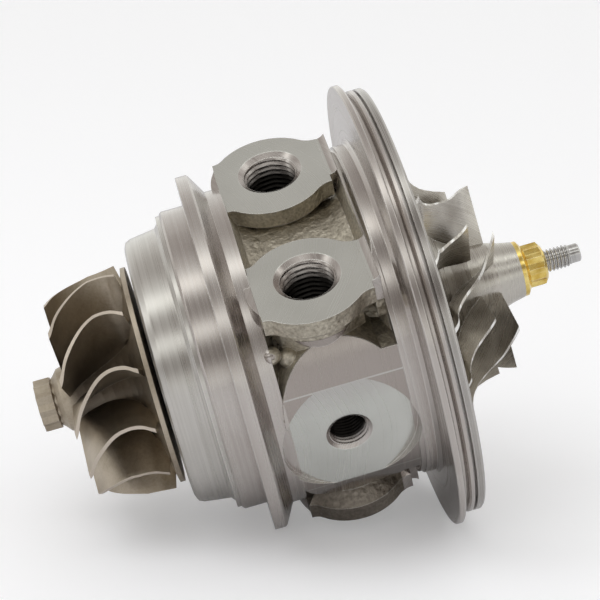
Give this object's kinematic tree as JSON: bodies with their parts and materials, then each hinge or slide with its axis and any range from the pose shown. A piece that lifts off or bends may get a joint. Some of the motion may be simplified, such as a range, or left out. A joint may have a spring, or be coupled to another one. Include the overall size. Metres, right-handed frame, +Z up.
{
  "type": "turbocharger centre cartridge",
  "caption": "Water-cooled bearing housing with turbine wheel, compressor wheel and shaft, for clamping between a turbine and a compressor housing.",
  "frame": {"origin": "on the shaft's axis, at the front face of the turbine side's clamp flange", "axes": "+Z up from the bench on which it lies on the rims of its two flanges; the shaft lies in the XZ plane and rises towards +X, the compressor end; the coolant ports face up and towards -Y"},
  "size_m": [0.1427, 0.1172, 0.1139],
  "materials": {
    "housing_iron": "cast waist left rough, ends, flats and ports machined bright",
    "shield_steel": "pressed and turned bright",
    "turbine_alloy": "investment cast nickel alloy, brown-grey, blade tips ground bright",
    "shaft_steel": "ground",
    "spring_steel": "plain",
    "bearing_bronze": "turned bronze",
    "screw_steel": "dark steel",
    "plate_iron": "turned bright",
    "seal_rubber": "black rubber",
    "wheel_aluminium": "five-axis milled, satin",
    "nut_yellow_zinc": "yellow zinc plate"
  },
  "bodies": {
    "housing": {"bearing_housing": "housing_iron", "heat_shield": "shield_steel", "turbine_piston_ring": "spring_steel", "bush_retaining_rings": "spring_steel", "thrust_bearing": "bearing_bronze", "thrust_bearing_screws": "screw_steel", "thrust_bearing_pins": "screw_steel", "oil_deflector": "spring_steel", "compressor_piston_ring": "spring_steel", "seal_plate": "plate_iron", "seal_plate_oring": "seal_rubber", "seal_plate_screws": "screw_steel"},
    "rotor": {"turbine_wheel": "turbine_alloy", "rotor_shaft": "shaft_steel", "thrust_ring": "shaft_steel", "thrust_collar": "shaft_steel", "oil_flinger": "shaft_steel", "compressor_wheel": "wheel_aluminium", "compressor_nut": "nut_yellow_zinc"},
    "turbine_bush": {"turbine_bearing_bush": "bearing_bronze"},
    "compressor_bush": {"compressor_bearing_bush": "bearing_bronze"}
  },
  "joints": [
    {"name": "rotor_spin", "type": "hinge", "parent": "housing", "child": "rotor", "pos_m": [0, 0, 0], "axis": [0.9677, 0, 0.2522], "continuous": true},
    {"name": "turbine_bush_spin", "type": "hinge", "parent": "housing", "child": "turbine_bush", "pos_m": [0.0031, 0, 0.00081], "axis": [0.9677, 0, 0.2522], "continuous": true},
    {"name": "compressor_bush_spin", "type": "hinge", "parent": "housing", "child": "compressor_bush", "pos_m": [0.02806, 0, 0.00731], "axis": [0.9677, 0, 0.2522], "continuous": true}
  ]
}
